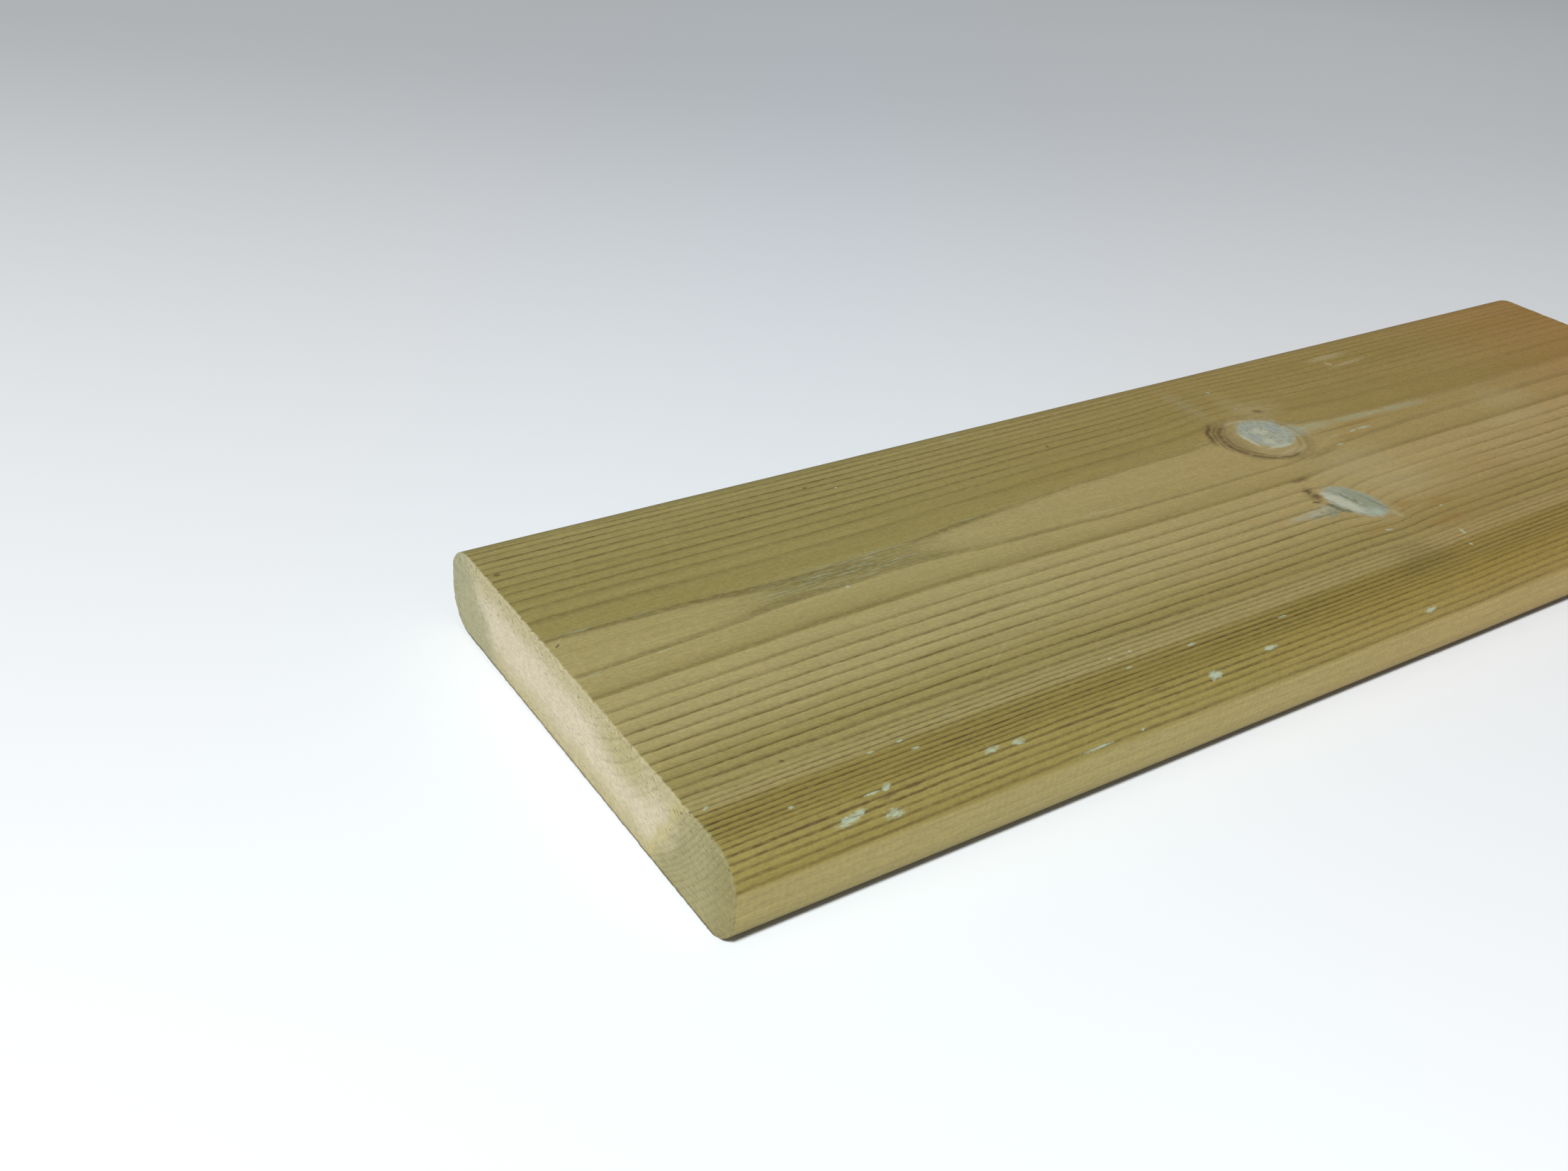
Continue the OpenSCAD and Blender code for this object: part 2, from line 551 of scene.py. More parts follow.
# Layers of marks, each over the one before: how far its edge frays, and where it ends and is full
Layer = namedtuple("Layer", "colour strength fray low high marks")
STAINS = (
    Layer("late", 0.3, 0.8, 1.6, 0.1, ((237, 127, 10, 7, 0), (230, 131, 8, 3, 0))),
    Layer("late", 0.4, 0.7, 1.4, 0.3, ((283, 59.3, 17, 0.6, -1), (262, 70.2, 9, 0.9, 6))),
    Layer("warm", 0.2, 0.9, 1.6, 0.1, ((274, 110, 24, 15, 0), (300, 100, 20, 10, 0))),
    Layer("warm", 0.5, 0.8, 1.5, 0.2, ((258, 104.4, 5.5, 1.6, 0), (292, 59, 9, 1.3, -2),
                                       (262, 117, 9, 2.2, 0), (280, 64.5, 6, 1.2, 0),
                                       (237, 111.5, 6, 1.6, 0), (270, 107.5, 5, 2.0, 0))),
    Layer("knot_pale", 0.13, 0.9, 1.5, 0.1, ((246.5, 25, 3.6, 13, 0), (160, 10, 3.5, 2.4, 0))),
    Layer("halo", 0.3, 0.9, 1.5, 0.2, ((262, 28, 5, 11, 0), (262, 80, 12, 4, 0))),
    Layer("halo_pale", 0.3, 0.9, 1.6, 0.1, ((266, 79, 17, 8, 0), (269, 93, 14, 9, 0),
                                            (266, 38, 10, 6, 0))),
    Layer("halo_pale", 0.5, 0.9, 1.4, 0.4, ((330, 23.4, 10, 1.0, 3), (322, 21.5, 1.4, 2.0, 0),
                                             (326, 16.8, 10, 1.6, 0))),
    Layer("halo_pale", 0.22, 0.9, 1.6, 0.1, ((356, 68, 13, 7, 0), (347, 80, 14, 4, 0))),
    Layer("bark", 0.7, 0.5, 1.2, 0.6, ((3.5, 22, 0.9, 0.7, 0), (100.8, 17.3, 0.8, 0.5, 0),
                                       (3, 58, 0.9, 0.4, 40), (26.5, 120.3, 0.6, 0.5, 0),
                                       (184, 27.6, 0.6, 0.8, 0))),
    Layer("bark", 0.6, 0.7, 1.5, 0.2, ((266.6, 38.5, 2.0, 1.2, -20), (240.5, 79.6, 4, 1.0, 0))),
    Layer("bark", 0.55, 0.8, 1.4, 0.2, ((21, 139.7, 4.5, 0.35, 0), (32, 139.5, 4, 0.3, 0),
                                        (41, 139.9, 2.4, 0.45, 0), (48, 139.7, 2.0, 0.4, 0),
                                        (94, 139.1, 6, 0.35, 0), (104, 139.1, 3.5, 0.35, 0),
                                        (121, 138.7, 4, 0.35, 0))),
    Layer("end_heart", 0.16, 0.3, 1.2, 0.6, ((95.5, 110.8, 17.5, 0.12, 34),
                                             (4, 56.5, 3.2, 0.12, 45))),
)
KNOT_GROUND = (
    Layer("halo", 0.65, 0.3, 1.1, 0.7, (KNOT_HALO, (245.3, 98.5, 9.2, 12.5, 11))),
    Layer("halo_pale", 0.5, 0.6, 1.4, 0.3, ((261.5, 44.5, 4.0, 2.0, -45), (252, 41.4, 6, 1.6, 0),
                                            (250.6, 107.5, 1.2, 3.0, 10), (254, 64.5, 7, 1.6, 8))),
    Layer("knot_pale", 0.55, 0.9, 1.4, 0.3, ((266.5, 54, 3.6, 4.6, 0), (264, 47, 2.2, 3.0, 0))),
    Layer("knot_tail", 0.5, 0.8, 1.4, 0.3, ((268, 54.6, 4, 3.8, 0), (277, 54.9, 8, 2.5, -2),
                                            (293, 55.7, 13, 1.8, -3), (315, 57, 14, 1.9, -2))),
    Layer("knot_pale", 0.55, 1.2, 1.4, 0.3, ((233, 97.2, 4.5, 3.2, 0), (227.5, 96.9, 6, 2.0, 0),
                                            (221, 96.3, 5, 0.9, 0))),
    Layer("knot_dark", 0.4, 1.6, 1.3, 0.3, ((232.8, 98.6, 3.8, 2.4, 0), (227, 98.2, 3.0, 1.0, 0))),
    Layer("knot_dark", 0.7, 0.7, 1.3, 0.5, ((230, 97, 0.9, 0.4, 0), (231, 99, 0.7, 0.4, 0))),
)
BARK_MARKS = (
    Layer("bark", 0.25, 0.5, 1.5, 0.2, ((241.5, 53, 4, 11, -8), (236, 88.5, 2.6, 5.0, -25))),
    Layer("bark", 0.75, 0.9, 1.3, 0.3, ((236.8, 85.6, 2.0, 1.5, 30), (236.6, 89, 1.6, 2.4, -20),
                                        (234, 91.8, 1.5, 0.8, -20))),
)
KNOT_FACES = (
    Layer("knot_blue", 0.6, 0.7, 1.3, 0.4, ((250.2, 52, 1.3, 2.6, 0), (261, 50.3, 1.9, 4.0, 8),
                                            (254, 45.8, 4.0, 0.9, 5))),
    Layer("knot_white", 0.6, 0.6, 1.3, 0.5, ((247, 53, 0.8, 5.5, 0), (253.5, 60.2, 5.5, 0.9, -4),
                                             (255, 50, 2.6, 2.6, 30), (252.6, 56.3, 2.0, 2.2, 0))),
    Layer("knot_dark", 0.38, 1.6, 1.3, 0.5, ((255.8, 54.3, 1.3, 0.35, 15),
                                             (253.8, 51.8, 0.3, 1.7, 20),
                                             (257, 48.8, 1.5, 0.3, 40),
                                             (251.6, 47.6, 1.3, 0.3, 30),
                                             (258.4, 52.4, 0.3, 1.3, 0))),
    Layer("knot_green", 0.75, 0.6, 1.3, 0.5, ((248.2, 96.8, 3.4, 9.0, 11),)),
    Layer("knot_white", 0.75, 0.4, 1.2, 0.6, ((240.9, 95.3, 2.4, 8.0, 8),)),
    Layer("knot_dark", 0.5, 0.9, 1.3, 0.4, ((244.4, 94, 0.6, 5.5, 6), (245.3, 96.5, 0.8, 1.3, 0),
                                            (250, 99.5, 0.5, 4.5, 8))),
    Layer("salt", 0.4, 0.6, 1.3, 0.4, ((245.8, 103.8, 2.6, 2.3, 0),)),
    Layer("knot_dark", 0.8, 0.5, 1.2, 0.5, ((236.6, 96.8, 1.2, 4.1, 14),
                                            (238.2, 99.8, 0.7, 1.6, 20))),
)


def on_top(mark):
    """Centre, half sizes and turn of a mark on the top face."""
    centre = (mark[0] - HALF_LENGTH, HALF_WIDTH - mark[1], TOP_Z)
    return centre, (mark[2], mark[3], MARK_DEPTH), *mark[4:]


def frayed(nodes, fringe, distance, fray, low, high):
    """One inside an outline and nothing outside it, with an edge that frays along the grain."""
    return nodes.ramp(nodes.total(distance, nodes.product(fringe, fray)), low, high)


def marked(nodes, place, fringe, marks, fray, low, high):
    """One inside any of the marks of a list."""
    distances = [nodes.blot(place, *on_top(mark)) for mark in marks]
    return frayed(nodes, fringe, nodes.least(*distances), fray, low, high)


def painted(nodes, place, fringe, wood, finish, layers):
    """Wood with layers of marks on it."""
    for layer in layers:
        share = marked(nodes, place, fringe, layer.marks, layer.fray, layer.low, layer.high)
        colour = getattr(finish, layer.colour)
        wood = nodes.blend(nodes.product(share, layer.strength), wood, colour)
    return wood


def near_end_gap(nodes, place):
    """How far a place lies from the near end."""
    return nodes.maths("ADD", nodes.split(place)[0], HALF_LENGTH)


def lower_edges(nodes, place):
    """One on the lower part of the long edges, nothing on the top face."""
    return nodes.ramp(nodes.split(place)[2], 18.0, 15.5)


def front_side(nodes, grain):
    """One well in front of the heart, nothing well behind it."""
    return nodes.ramp(grain.across, -4.0, 4.0)


def ring_reach(nodes, grain):
    """How far a ring lies from the heart line on the top face, less than nothing at the back."""
    beyond = nodes.maths("SUBTRACT", nodes.product(grain.radius, grain.radius), HEART_DROP ** 2)
    reach = nodes.maths("SQRT", nodes.most(beyond, 0.0))
    return nodes.product(reach, nodes.ramp(grain.across, -2.0, 2.0, -1.0, 1.0))


def first_line(nodes, place, grain):
    """How dark the line of the first ring is: fainter in front of the heart and to the far end."""
    along = nodes.curve(near_end_gap(nodes, place), FIRST_LINE)
    return nodes.product(along, nodes.ramp(front_side(nodes, grain), 0.0, 1.0, 1.0, 0.8))


def late_share(nodes, place, grain):
    """How much of the dark autumn line shows."""
    from_near_end = near_end_gap(nodes, place)
    sharp = nodes.curve(grain.phase, LATE_PROFILE)
    wide = nodes.between(front_side(nodes, grain), nodes.curve(grain.phase, BACK_PROFILE), sharp)
    narrow = nodes.ramp(grain.radius, 58.0, 64.0)
    late = nodes.between(narrow, wide, nodes.curve(grain.phase, NARROW_PROFILE))
    middle, half_length = FIRST_PATCH
    off_middle = nodes.maths("SUBTRACT", from_near_end, middle)
    patch = nodes.bell(nodes.maths("DIVIDE", off_middle, half_length))
    first = nodes.between(patch, nodes.curve(grain.phase, LINE_PROFILE), sharp)
    inner = nodes.maths("LESS_THAN", grain.count, float(INNER_COUNT))
    late = nodes.between(inner, nodes.product(late, grain.dark),
                         nodes.product(first, first_line(nodes, place, grain)))
    along = nodes.ramp(from_near_end, 40.0, 340.0, 1.0, 0.68)
    calm = nodes.ramp(nodes.blot(place, *on_top(CALM_ZONE)), 0.3, 1.3, 0.55, 1.0)
    broken = nodes.ramp(nodes.noise(place, (38.0, 3.0, 3.0), detail=2.0), 0.25, 0.6, 0.5, 1.0)
    dotted = nodes.ramp(nodes.noise(place, (2.4, 0.8, 0.8), detail=2.0), 0.32, 0.62, 0.66, 1.08)
    behind = nodes.product(nodes.inverse(front_side(nodes, grain)), from_near_end)
    faint = nodes.ramp(behind, 110.0, 340.0, 1.0, 0.62)
    return nodes.product(late, along, calm, broken, dotted, faint)


def plain_wood(nodes, place, grain, late, finish):
    """Early and late wood, with the depth of the treatment, the fibres and the planing, and a painted
    shade along the bottom.
    """
    from_near_end = near_end_gap(nodes, place)
    reach = ring_reach(nodes, grain)
    soak = nodes.curve(reach, SOAKED, "VECTOR")
    heart = nodes.product(nodes.bell(nodes.maths("DIVIDE", reach, 11.0)),
                          nodes.ramp(from_near_end, 240.0, 320.0, 0.18, 0.55))
    soak = nodes.total(soak, heart, nodes.swing(place, (90.0, 7.0, 7.0), 0.22))
    edges = lower_edges(nodes, place)
    aged = nodes.product(nodes.ramp(reach, -25.0, -45.0, 0.0, 0.25),
                         nodes.ramp(from_near_end, 150.0, 260.0))
    soak = nodes.product(soak, nodes.total(1.0, aged))
    soak = nodes.maths("MULTIPLY", soak, nodes.ramp(edges, 0.0, 1.0, 1.0, 0.25), clamp=True)
    front = nodes.ramp(reach, 56.0, 64.0)
    deep = nodes.blend(front, finish.early_deep, finish.early_front)
    early = nodes.blend(soak, finish.early_light, deep)
    late = nodes.product(late, nodes.ramp(edges, 0.0, 1.0, 1.0, 0.18))
    wood = nodes.blend(late, early, nodes.blend(front, finish.late, finish.late_red))
    wood = nodes.blend(nodes.curve(from_near_end, FAR_SHARE), wood, FAR_TINT, "MULTIPLY")
    # Painted shade: below 6 mm the wood darkens towards the bark colour, standing in for the shadow
    # on the underside of the lower rounded edges.
    painted_foot_shade = nodes.ramp(nodes.split(place)[2], 6.0, 3.0, 0.0, 0.62)
    wood = nodes.blend(painted_foot_shade, wood, finish.bark)
    wave = nodes.maths("MULTIPLY", from_near_end, math.tau / PLANER_PITCH)
    planed = nodes.maths("SINE", nodes.total(wave, nodes.swing(place, (9.0, 5.0, 5.0), 3.0)))
    planed = nodes.product(planed, nodes.ramp(edges, 0.0, 1.0, 0.008, 0.02))
    paler = nodes.product(edges, nodes.ramp(from_near_end, 0.0, 260.0, 0.06, 0.12))
    return nodes.lit(wood, planed, paler,
                     nodes.swing(place, (34.0, 0.45, 0.45), 0.17, detail=3.0),
                     nodes.swing(place, (3.0, 0.35, 0.35), 0.18, detail=2.0),
                     nodes.swing(place, (0.9, 0.7, 0.7), 0.18),
                     nodes.swing(place, (7.0, 3.0, 3.0), 0.06, detail=3.0))


def bark_arcs(nodes, place):
    """How dark the arcs of bark round the first knot are."""
    centre, half_sizes = on_top(KNOT_HALO)
    halo = nodes.total(nodes.blot(place, centre, half_sizes),
                       nodes.swing(place, (4.0, 4.0, 4.0), 0.05))
    away = nodes.vector("MULTIPLY", nodes.vector("SUBTRACT", place, centre), (1.0, 1.0, 0.0))
    bark = 0.0
    for arc in BARK_ARCS:
        turn = math.radians(arc.towards)
        facing = nodes.maths("DIVIDE", nodes.dot(away, (math.cos(turn), math.sin(turn), 0.0)),
                             nodes.size_of(away))
        fade = math.cos(math.radians(arc.spread + ARC_FADE))
        ends = nodes.ramp(facing, fade, math.cos(math.radians(arc.spread)))
        width = nodes.maths("DIVIDE", nodes.maths("SUBTRACT", halo, arc.share), arc.half_width)
        bark = nodes.most(nodes.product(nodes.bell(width), ends, arc.strength), bark)
    return nodes.product(bark, nodes.ramp(nodes.noise(place, (1.6, 1.6, 1.6)), 0.3, 0.55, 0.5, 1.0))


def knotted_wood(nodes, place, fringe, grain, wood, finish):
    """The two knots, with the tan wood and the bark round them."""
    wood = painted(nodes, place, fringe, wood, finish, KNOT_GROUND)
    halo = nodes.blot(place, *on_top(KNOT_HALO))
    turns = nodes.total(nodes.product(halo, 6.0), nodes.swing(place, (5.0, 5.0, 5.0), 0.5))
    line = nodes.maths("ABSOLUTE", nodes.maths("SUBTRACT", nodes.maths("FRACT", turns), 0.5))
    inside = nodes.product(nodes.ramp(halo, 1.08, 0.98), nodes.ramp(halo, 0.55, 0.7))
    wood = nodes.blend(nodes.product(nodes.ramp(line, 0.34, 0.12), inside, 0.2), wood, finish.bark)
    wood = nodes.blend(bark_arcs(nodes, place), wood, finish.bark)
    rough = nodes.swing(place, (1.3, 1.3, 1.3), 1.0, detail=3.0)
    wood = painted(nodes, place, rough, wood, finish, BARK_MARKS)
    egg = nodes.blot(place, *on_top(SECOND_KNOT))
    faces = ((grain.knots[0], (1.8, 1.8, 1.8), 0.38), (egg, (0.8, 6.0, 6.0), 0.34))
    for distance, stripe, start in faces:
        grey = nodes.noise(place, stripe, detail=3.0)
        rings = nodes.product(nodes.maths("SINE", nodes.product(distance, 24.0)), 0.07)
        shade = nodes.ramp(nodes.total(grey, rings), start, start + 0.3)
        colour = nodes.blend(shade, finish.knot_pale, finish.knot_grey)
        body = frayed(nodes, rough, distance, 0.2, 1.1, 0.88)
        wood = nodes.blend(nodes.product(body, 0.94), wood, colour)
    return painted(nodes, place, rough, wood, finish, KNOT_FACES)


def salt_share(nodes, place, fringe):
    """One where the treatment left a crust of pale salt."""
    ragged = nodes.swing(place, (1.5, 0.8, 0.8), 1.0, detail=4.0, roughness=0.65)
    salt = marked(nodes, place, ragged, SALT_MARKS, 0.9, 1.1, 0.4)
    edge_marks = []
    for from_end, height, half_length, half_height in EDGE_SALT:
        centre = (from_end - HALF_LENGTH, -HALF_WIDTH, height)
        edge_marks.append(nodes.blot(place, centre, (half_length, EDGE_DEPTH, half_height)))
    edge = frayed(nodes, ragged, nodes.least(*edge_marks), 1.0, 1.15, 0.4)
    strokes = nodes.ramp(nodes.noise(place, (2.5, 0.4, 0.4), detail=3.0), 0.3, 0.55, 0.35, 1.0)
    crust = nodes.product(nodes.most(salt, edge), strokes)
    zones = marked(nodes, place, fringe, DASH_ZONES, 0.3, 1.1, 0.5)
    dashes = nodes.ramp(nodes.noise(place, (12.0, 0.4, 0.4), detail=2.0), 0.57, 0.68)
    return nodes.most(crust, nodes.product(zones, dashes, 0.65))


def sawn_wood(nodes, place, late, finish):
    """The ends: pale heart wood, soaked wood near the faces, sap wood at both edges, and a painted
    shade along the bottom.
    """
    _, y, z = nodes.split(place)
    from_back = nodes.maths("SUBTRACT", HALF_WIDTH, y)
    depth = nodes.maths("SUBTRACT", TOP_Z, z)
    back_gap = nodes.maths("SUBTRACT", from_back, nodes.maths("MULTIPLY_ADD", depth, 0.76, 11.5))
    front_gap = nodes.maths("SUBTRACT", nodes.maths("MULTIPLY_ADD", depth, -0.6, 124.0), from_back)
    sap = nodes.ramp(nodes.total(nodes.least(back_gap, front_gap),
                                 nodes.swing(place, (5.0, 5.0, 5.0), 4.0)), 5.5, -6.0)
    face_gap = nodes.total(nodes.least(z, depth), nodes.swing(place, (8.0, 8.0, 3.0), 3.0))
    upper = nodes.blot(nodes.vector("MULTIPLY", place, (0.0, 1.0, 1.0)),
                       (0.0, HALF_WIDTH - 97.0, 21.0), (1.0, 14.0, 7.5))
    soaked = nodes.most(nodes.ramp(face_gap, 10.0, 2.0, 0.0, 0.8), nodes.ramp(upper, 1.5, 0.4))
    wood = nodes.blend(soaked, finish.end_heart, finish.end_soaked)
    sap_colour = nodes.blend(nodes.ramp(y, -10.0, 10.0), finish.end_olive, finish.end_grey)
    half_soaked = nodes.bell(nodes.maths("DIVIDE", nodes.maths("SUBTRACT", sap, 0.4), 0.25))
    fringe = nodes.product(half_soaked, nodes.ramp(y, 0.0, -20.0), 0.6)
    wood = nodes.blend(fringe, nodes.blend(sap, wood, sap_colour), finish.end_fringe)
    rim = nodes.ramp(from_back, 131.0, 143.0, 0.0, 0.75)
    wood = nodes.blend(rim, wood, finish.end_rim)
    arcs = nodes.most(nodes.ramp(upper, 2.0, 0.7, 0.03, 0.26), nodes.product(sap, 0.26))
    wood = nodes.blend(nodes.product(late, arcs), wood, finish.late)
    pits = nodes.ramp(nodes.noise(place, (3.0, 1.5, 0.65), detail=2.0, roughness=0.6), 0.57, 0.7)
    pits = nodes.product(pits, nodes.ramp(depth, 9.0, 3.0, 0.28, 0.7))
    wood = nodes.blend(pits, wood, finish.late)
    wood = nodes.lit(wood, nodes.swing(place, (2.0, 2.0, 0.8), 0.3, detail=3.0, roughness=0.6),
                     nodes.swing(place, (2.0, 9.0, 5.0), 0.05))
    # Painted shade: the lowest 1.4 mm of each end darkens towards the bark colour, standing in for
    # the shadow where the end meets the floor.
    return nodes.blend(nodes.ramp(z, 1.4, 0.4, 0.0, 0.75), wood, finish.bark)


def surface_bump(nodes, place, ends):
    """Fine height of the surface in millimetres."""
    fibre = nodes.swing(place, (14.0, 0.35, 0.35), 0.05, detail=3.0)
    planed = nodes.total(fibre, nodes.swing(place, (0.9, 0.7, 0.7), 0.04))
    sawn = nodes.swing(place, (0.8, 0.9, 0.5), 0.12, detail=3.0, roughness=0.6)
    return nodes.total(nodes.product(nodes.inverse(ends), planed), nodes.product(ends, sawn))


def empty_material(name):
    """A material with nothing in its tree, and what adds nodes to it."""
    material = bpy.data.materials.new(name)
    material.use_nodes = True
    material.node_tree.nodes.clear()
    return material, Nodes(material.node_tree)


def treated_softwood(shape, finish):
    """Wood cut from one solid pattern, so the lines carry on from face to face."""
    material, nodes = empty_material("Treated softwood")
    place = nodes.scaled(nodes.add("ShaderNodeTexCoord").outputs["Object"], 1.0 / MM)
    grain = grow_wood(nodes, place, shape.length)
    late = late_share(nodes, place, grain)
    ends = end_share(nodes, place, shape.length)
    fringe = nodes.swing(place, (2.2, 0.6, 0.6), 1.0, detail=3.0)
    salt = salt_share(nodes, place, fringe)
    wood = plain_wood(nodes, place, grain, late, finish)
    wood = painted(nodes, place, fringe, wood, finish, STAINS)
    wood = knotted_wood(nodes, place, fringe, grain, wood, finish)
    wood = nodes.blend(nodes.product(salt, 0.78), wood, finish.salt)
    wood = nodes.blend(ends, wood, sawn_wood(nodes, place, late, finish))
    bump = nodes.add("ShaderNodeBump", {"Height": surface_bump(nodes, place, ends),
                                        "Distance": MM, "Strength": 1.0})
    shader = nodes.add("ShaderNodeBsdfPrincipled",
                       {"Base Color": wood, "Roughness": 0.82, "Specular IOR Level": 0.2,
                        "Normal": bump.outputs[0]})
    nodes.add("ShaderNodeOutputMaterial", {"Surface": shader.outputs[0]})
    return material


def cut_through(bm, way, places):
    """Adds flat cuts through the whole bar, square to a direction."""
    for place in places:
        everything = bm.verts[:] + bm.edges[:] + bm.faces[:]
        bmesh.ops.bisect_plane(bm, geom=everything, dist=1e-7, plane_co=way * place, plane_no=way)


def even_places(low, high, spacing):
    """Places between two ends at about a spacing, the ends left out."""
    count = max(1, round((high - low) / spacing))
    return [low + (high - low) * step / count for step in range(1, count)]


def plane_bar(shape):
    """A bar with rounded long edges and worn end edges, cut into a fine net of faces."""
    bm = bmesh.new()
    bmesh.ops.create_cube(bm, size=1.0)
    bmesh.ops.scale(bm, vec=(shape.length, shape.width, shape.thickness), verts=bm.verts)
    bmesh.ops.translate(bm, vec=(0.0, 0.0, shape.thickness / 2), verts=bm.verts)
    long_edges = [edge for edge in bm.edges if edge.calc_length() > 0.9 * shape.length]
    bmesh.ops.bevel(bm, geom=long_edges, offset=shape.edge_radius, offset_type="OFFSET",
                    segments=ROUND_STEPS, profile=0.5, affect="EDGES", material=-1)
    rims = [edge for edge in bm.edges if edge.calc_length() < 0.9 * shape.length]
    bmesh.ops.bevel(bm, geom=rims, offset=shape.arris, offset_type="OFFSET", segments=2,
                    profile=0.5, affect="EDGES", material=-1)
    half = shape.length / 2 - shape.arris
    flat = shape.width / 2 - shape.edge_radius
    levels = even_places(0.0, shape.thickness, END_CUT)
    cut_through(bm, Vector((0, 0, 1)), levels)
    cut_through(bm, Vector((0, 1, 0)), [-flat] + even_places(-flat, flat, GRAIN_CUT) + [flat])
    cross = even_places(-half, KNOT_ZONE[0], CROSS_CUT) + [KNOT_ZONE[0]]
    cross += even_places(*KNOT_ZONE, KNOT_CUT) + [KNOT_ZONE[1]]
    cross += even_places(KNOT_ZONE[1], half, CROSS_CUT)
    cross += [-half + shape.arris, half - shape.arris]
    cut_through(bm, Vector((1, 0, 0)), cross)
    return bm


def new_object(scene, name, bm):
    """An object in the scene, with the mesh that was built."""
    mesh = bpy.data.meshes.new(name)
    bm.to_mesh(mesh)
    bm.free()
    piece = bpy.data.objects.new(name, mesh)
    scene.collection.objects.link(piece)
    return piece


class PLANK_OT_timber(bpy.types.Operator):
    """Build the plank, with its relief and its wood"""

    bl_idname = "plank.timber"
    bl_label = "Plank"

    def execute(self, context):
        scene = context.scene
        piece = new_object(scene, "plank_wood", plane_bar(scene.plank_shape))
        press_relief(piece, scene.plank_shape)
        piece.data.materials.clear()
        piece.data.materials.append(treated_softwood(scene.plank_shape, scene.plank_finish))
        piece.data.shade_smooth()
        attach(piece, "root")
        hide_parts("plank")
        return {"FINISHED"}


# Camera, found from the outline of the plank: eye and directions in the frame of the plank
EYE = Vector((-351.75, -264.73, 233.88)) * MM
FORWARD = Vector((0.49055, 0.69634, -0.5239))
RIGHT = Vector((0.83822, -0.54141, 0.06526))
# Width of its sensor in millimetres, and where its view starts in metres
SENSOR_WIDTH = 36.0
CLIP_START = 0.01


def place_camera(scene, lens):
    """The camera of the picture."""
    camera = bpy.data.objects.new("Camera", bpy.data.cameras.new("Camera"))
    camera.data.lens = lens
    camera.data.sensor_width = SENSOR_WIDTH
    camera.data.clip_start = CLIP_START
    up = RIGHT.cross(FORWARD)
    turn = Matrix((RIGHT, up, -FORWARD)).transposed()
    camera.matrix_world = Matrix.Translation(EYE) @ turn.to_4x4()
    scene.collection.objects.link(camera)
    scene.camera = camera


# Place and width of the lamp in metres
LAMP_SPOT = Vector((-1.6, -1.12, 2.12))
LAMP_SIZE = 0.3


def place_lamp(scene, power):
    """A soft lamp that faces the plank."""
    lamp = bpy.data.objects.new("Soft lamp", bpy.data.lights.new("Soft lamp", "AREA"))
    lamp.data.energy = power
    lamp.data.size = LAMP_SIZE
    lamp.location = LAMP_SPOT
    lamp.rotation_euler = (-LAMP_SPOT).to_track_quat("-Z", "Y").to_euler()
    scene.collection.objects.link(lamp)


# Half the side of the floor in metres, and how far it lies under the plank
FLOOR_HALF = 4.0
FLOOR_GAP = 0.0002
# Painted shade: how the floor darkens with the distance from the camera in metres, nothing to one
FLOOR_SHADE = ((0.2, 0.0), (0.36, 0.22), (0.5, 0.44), (0.7, 0.75), (0.86, 0.95), (0.95, 1.0),
               (1.15, 0.88), (1.3, 0.78))
# Blue tint of the floor in the middle of the view
FLOOR_TINT = (0.985, 1.025, 1.04)


def pale_floor(settings):
    """Paper that is white in front, with a painted shade that darkens it to grey behind; only the
    camera sees it so bright.
    """
    material, nodes = empty_material("Pale floor")
    place = nodes.add("ShaderNodeTexCoord").outputs["Object"]
    from_eye = nodes.vector("SUBTRACT", place, EYE)
    ahead = Vector((FORWARD.x, FORWARD.y, 0.0)).normalized()
    away = nodes.dot(from_eye, ahead)
    across = nodes.dot(from_eye, ahead.cross(Vector((0.0, 0.0, 1.0))))
    # Painted shade: the floor seen far behind darkens to this grey, a little lighter towards the
    # right.
    back = nodes.lit(settings.floor_back_shaded, nodes.ramp(across, -0.1, 0.45, 0.0, 0.13))
    shown = nodes.blend(nodes.curve(away, FLOOR_SHADE), settings.floor_front, back)
    middle = nodes.bell(nodes.maths("DIVIDE", across, 0.13))
    shown = nodes.blend(middle, shown, FLOOR_TINT, "MULTIPLY")
    path = nodes.add("ShaderNodeLightPath").outputs
    seen = nodes.most(path["Is Camera Ray"], path["Is Glossy Ray"], path["Is Transmission Ray"])
    colour = nodes.blend(seen, settings.floor, shown)
    shader = nodes.add("ShaderNodeBsdfDiffuse", {"Color": colour})
    nodes.add("ShaderNodeOutputMaterial", {"Surface": shader.outputs[0]})
    return material


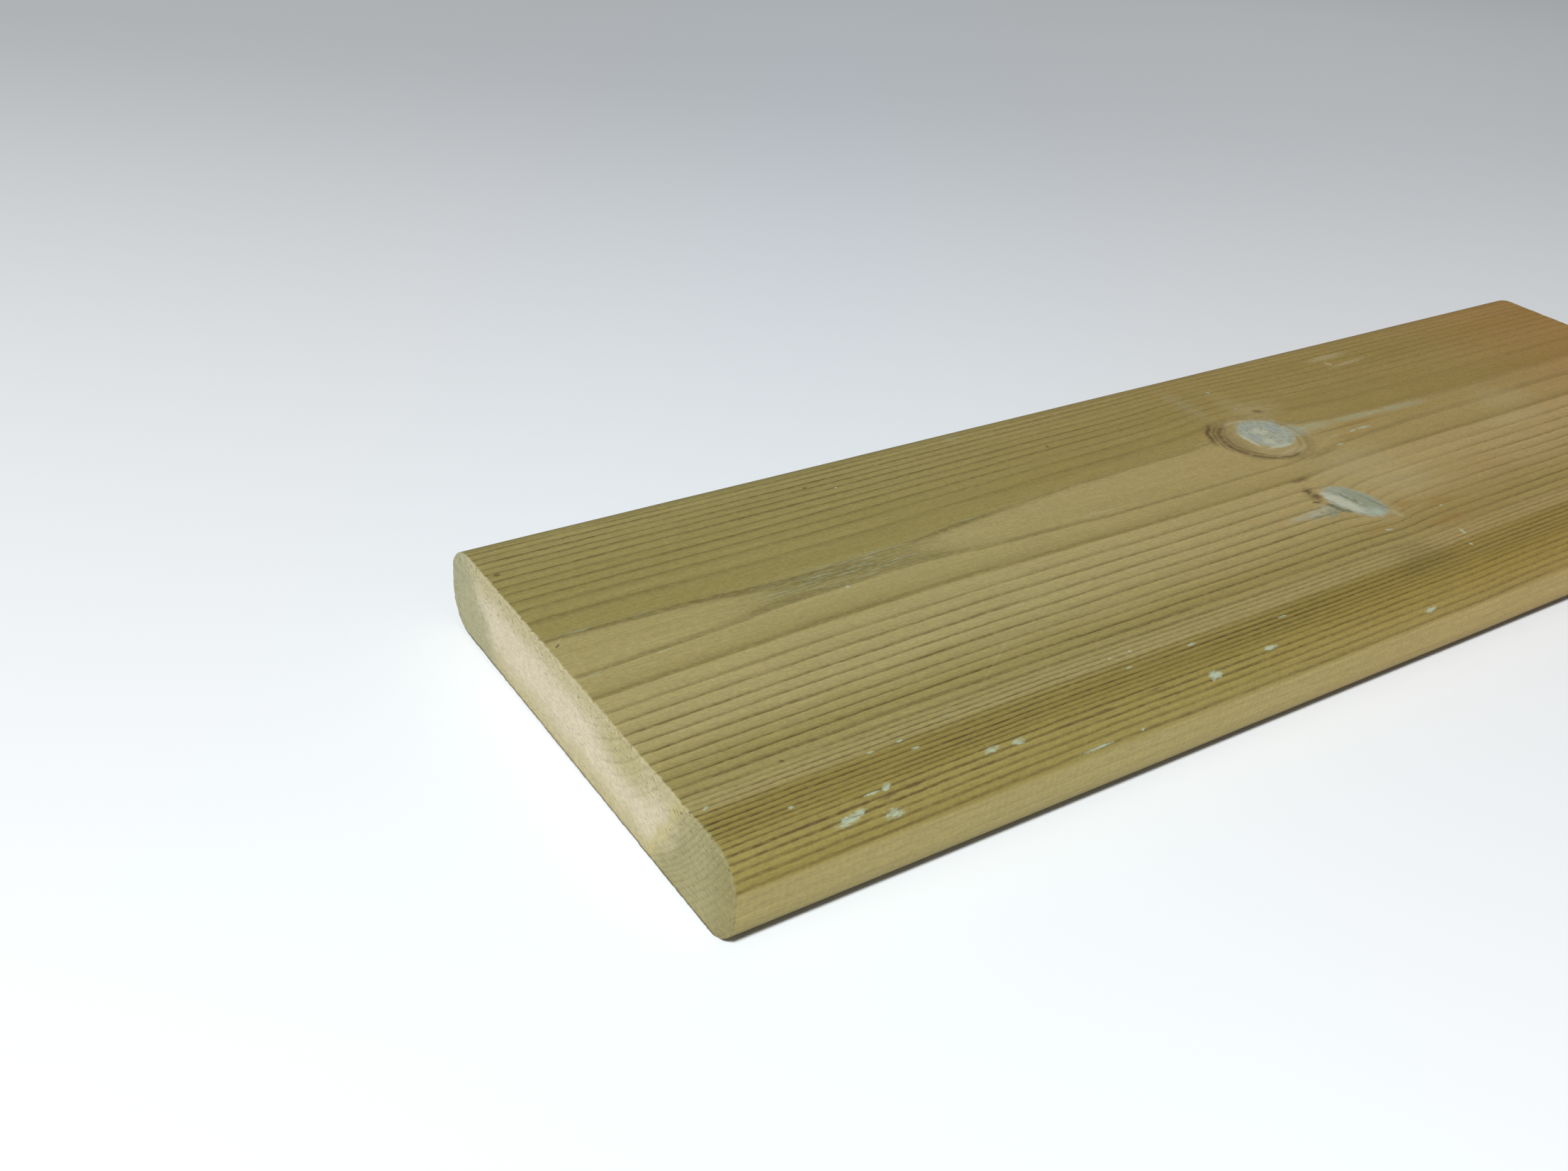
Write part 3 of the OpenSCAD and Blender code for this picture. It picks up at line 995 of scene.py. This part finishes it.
class PLANK_OT_stage(bpy.types.Operator):
    """Lay the floor, hang the lamp and set up the camera"""

    bl_idname = "plank.stage"
    bl_label = "Stage"

    def execute(self, context):
        scene = context.scene
        settings = scene.plank_stage
        bm = bmesh.new()
        bmesh.ops.create_grid(bm, x_segments=1, y_segments=1, size=FLOOR_HALF)
        floor = new_object(scene, "floor", bm)
        floor.location = (0.0, 0.0, -FLOOR_GAP)
        floor.data.materials.append(pale_floor(settings))
        place_lamp(scene, settings.lamp)
        world = bpy.data.worlds.new("Room")
        world.use_nodes = True
        background = world.node_tree.nodes["Background"]
        background.inputs["Strength"].default_value = settings.sky
        background.inputs["Color"].default_value = (1.0, 1.0, 1.0, 1.0)
        scene.world = world
        scene.view_settings.view_transform = "Standard"
        place_camera(scene, settings.lens)
        return {"FINISHED"}


class PLANK_PT_sidebar(bpy.types.Panel):
    """Sizes, colours and steps of the plank"""

    bl_label = "Plank"
    bl_idname = "PLANK_PT_sidebar"
    bl_space_type = "VIEW_3D"
    bl_region_type = "UI"
    bl_category = "Plank"

    def draw(self, context):
        scene = context.scene
        for group, step in ((scene.plank_shape, None), (scene.plank_finish, "plank.timber"),
                            (scene.plank_stage, "plank.stage")):
            for name in group.__annotations__:
                self.layout.prop(group, name)
            if step:
                self.layout.operator(step)


CLASSES = (PlankShape, PlankFinish, PlankStage, PLANK_OT_timber, PLANK_OT_stage, PLANK_PT_sidebar)


def register():
    for cls in CLASSES:
        bpy.utils.register_class(cls)
    bpy.types.Scene.plank_shape = bpy.props.PointerProperty(type=PlankShape)
    bpy.types.Scene.plank_finish = bpy.props.PointerProperty(type=PlankFinish)
    bpy.types.Scene.plank_stage = bpy.props.PointerProperty(type=PlankStage)


def unregister():
    del bpy.types.Scene.plank_stage
    del bpy.types.Scene.plank_finish
    del bpy.types.Scene.plank_shape
    for cls in reversed(CLASSES):
        bpy.utils.unregister_class(cls)


def main():
    register()
    bpy.ops.plank.timber()
    bpy.ops.plank.stage()


if __name__ == "__main__":
    main()
